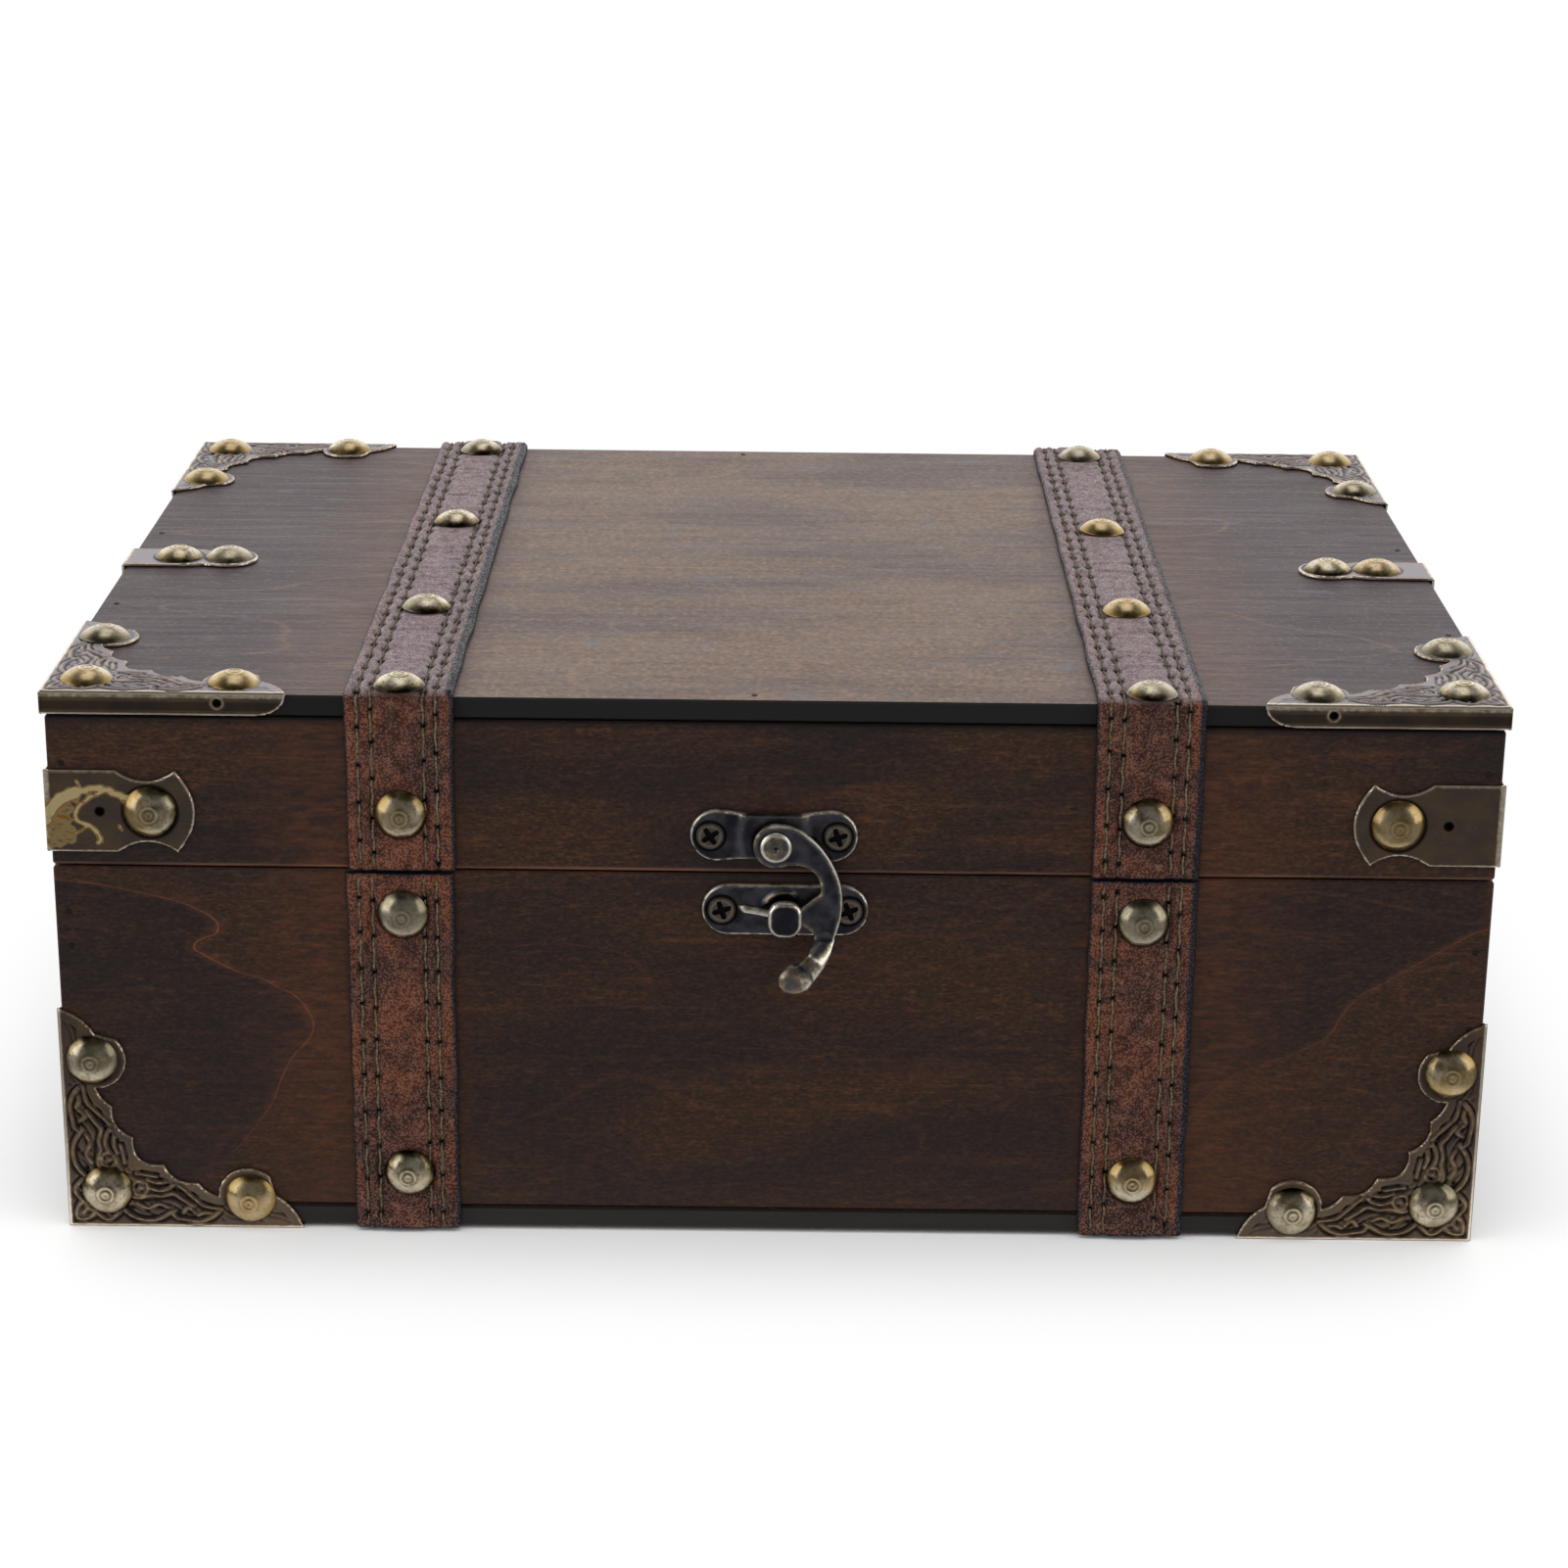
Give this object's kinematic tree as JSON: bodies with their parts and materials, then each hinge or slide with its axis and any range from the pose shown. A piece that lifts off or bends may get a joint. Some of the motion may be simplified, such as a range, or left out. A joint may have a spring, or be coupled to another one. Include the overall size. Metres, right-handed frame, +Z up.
{
  "type": "jewelry chest",
  "caption": "Flat-lidded wooden jewelry chest with leather straps, scalloped metal corner brackets, dome-head nails, a hinged lid and a swing hook latch.",
  "frame": {"origin": "on the surface that the chest stands on, under the centre of its overall width and depth", "axes": "+X to the viewer's right along the front, +Y from the front to the hinged back, +Z up"},
  "size_m": [0.2862, 0.2154, 0.117],
  "materials": {
    "walnut_stain": "dark walnut stain under satin varnish",
    "panel_stain": "dark walnut stain on thin plywood",
    "strap_leather": "crackled red-brown leather with stitched edges",
    "antique_bronze": "blackened brass plate with rubbed edges",
    "aged_brass": "aged yellow brass",
    "latch_gunmetal": "gunmetal plate, bright where it is worn"
  },
  "bodies": {
    "base": {"base_back_board": "walnut_stain", "base_bottom_panel": "panel_stain", "base_corner_back_left": "antique_bronze", "base_corner_back_right": "antique_bronze", "base_corner_front_left": "antique_bronze", "base_corner_front_right": "antique_bronze", "base_front_board": "walnut_stain", "base_left_board": "walnut_stain", "base_nail_back_left_lower": "aged_brass", "base_nail_back_left_upper": "aged_brass", "base_nail_back_right_lower": "aged_brass", "base_nail_back_right_upper": "aged_brass", "base_nail_front_left_lower": "aged_brass", "base_nail_front_left_upper": "aged_brass", "base_nail_front_right_lower": "aged_brass", "base_nail_front_right_upper": "aged_brass", "base_right_board": "walnut_stain", "base_strap_back_left": "strap_leather", "base_strap_back_right": "strap_leather", "base_strap_front_left": "strap_leather", "base_strap_front_right": "strap_leather", "hinge_base_leaf_left": "aged_brass", "hinge_base_leaf_right": "aged_brass", "hinge_pin_left": "aged_brass", "hinge_pin_right": "aged_brass", "latch_keeper": "latch_gunmetal"},
    "lid": {"hinge_lid_leaf_left": "aged_brass", "hinge_lid_leaf_right": "aged_brass", "latch_plate": "latch_gunmetal", "latch_rivet": "latch_gunmetal", "lid_back_board": "walnut_stain", "lid_clip_left": "antique_bronze", "lid_clip_right": "antique_bronze", "lid_corner_back_left": "antique_bronze", "lid_corner_back_right": "antique_bronze", "lid_corner_front_left": "antique_bronze", "lid_corner_front_right": "antique_bronze", "lid_front_board": "walnut_stain", "lid_left_board": "walnut_stain", "lid_nail_left_back": "aged_brass", "lid_nail_left_front": "aged_brass", "lid_nail_left_top_1": "aged_brass", "lid_nail_left_top_2": "aged_brass", "lid_nail_left_top_3": "aged_brass", "lid_nail_left_top_4": "aged_brass", "lid_nail_right_back": "aged_brass", "lid_nail_right_front": "aged_brass", "lid_nail_right_top_1": "aged_brass", "lid_nail_right_top_2": "aged_brass", "lid_nail_right_top_3": "aged_brass", "lid_nail_right_top_4": "aged_brass", "lid_right_board": "walnut_stain", "lid_strap_left": "strap_leather", "lid_strap_right": "strap_leather", "lid_top_panel": "panel_stain", "lid_wrap_back_left": "antique_bronze", "lid_wrap_back_right": "antique_bronze", "lid_wrap_front_left": "antique_bronze", "lid_wrap_front_right": "antique_bronze"},
    "hook": {"latch_hook": "latch_gunmetal"}
  },
  "joints": [
    {"name": "lid_hinge", "type": "hinge", "parent": "base", "child": "lid", "pos_m": [0, 0.10555, 0.0768], "axis": [-1, 0, 0], "range_deg": [0, 160]},
    {"name": "hook_swing", "type": "hinge", "parent": "lid", "child": "hook", "pos_m": [0.0004, -0.09685, 0.0836], "axis": [0, -1, 0], "range_deg": [0, 290]}
  ]
}
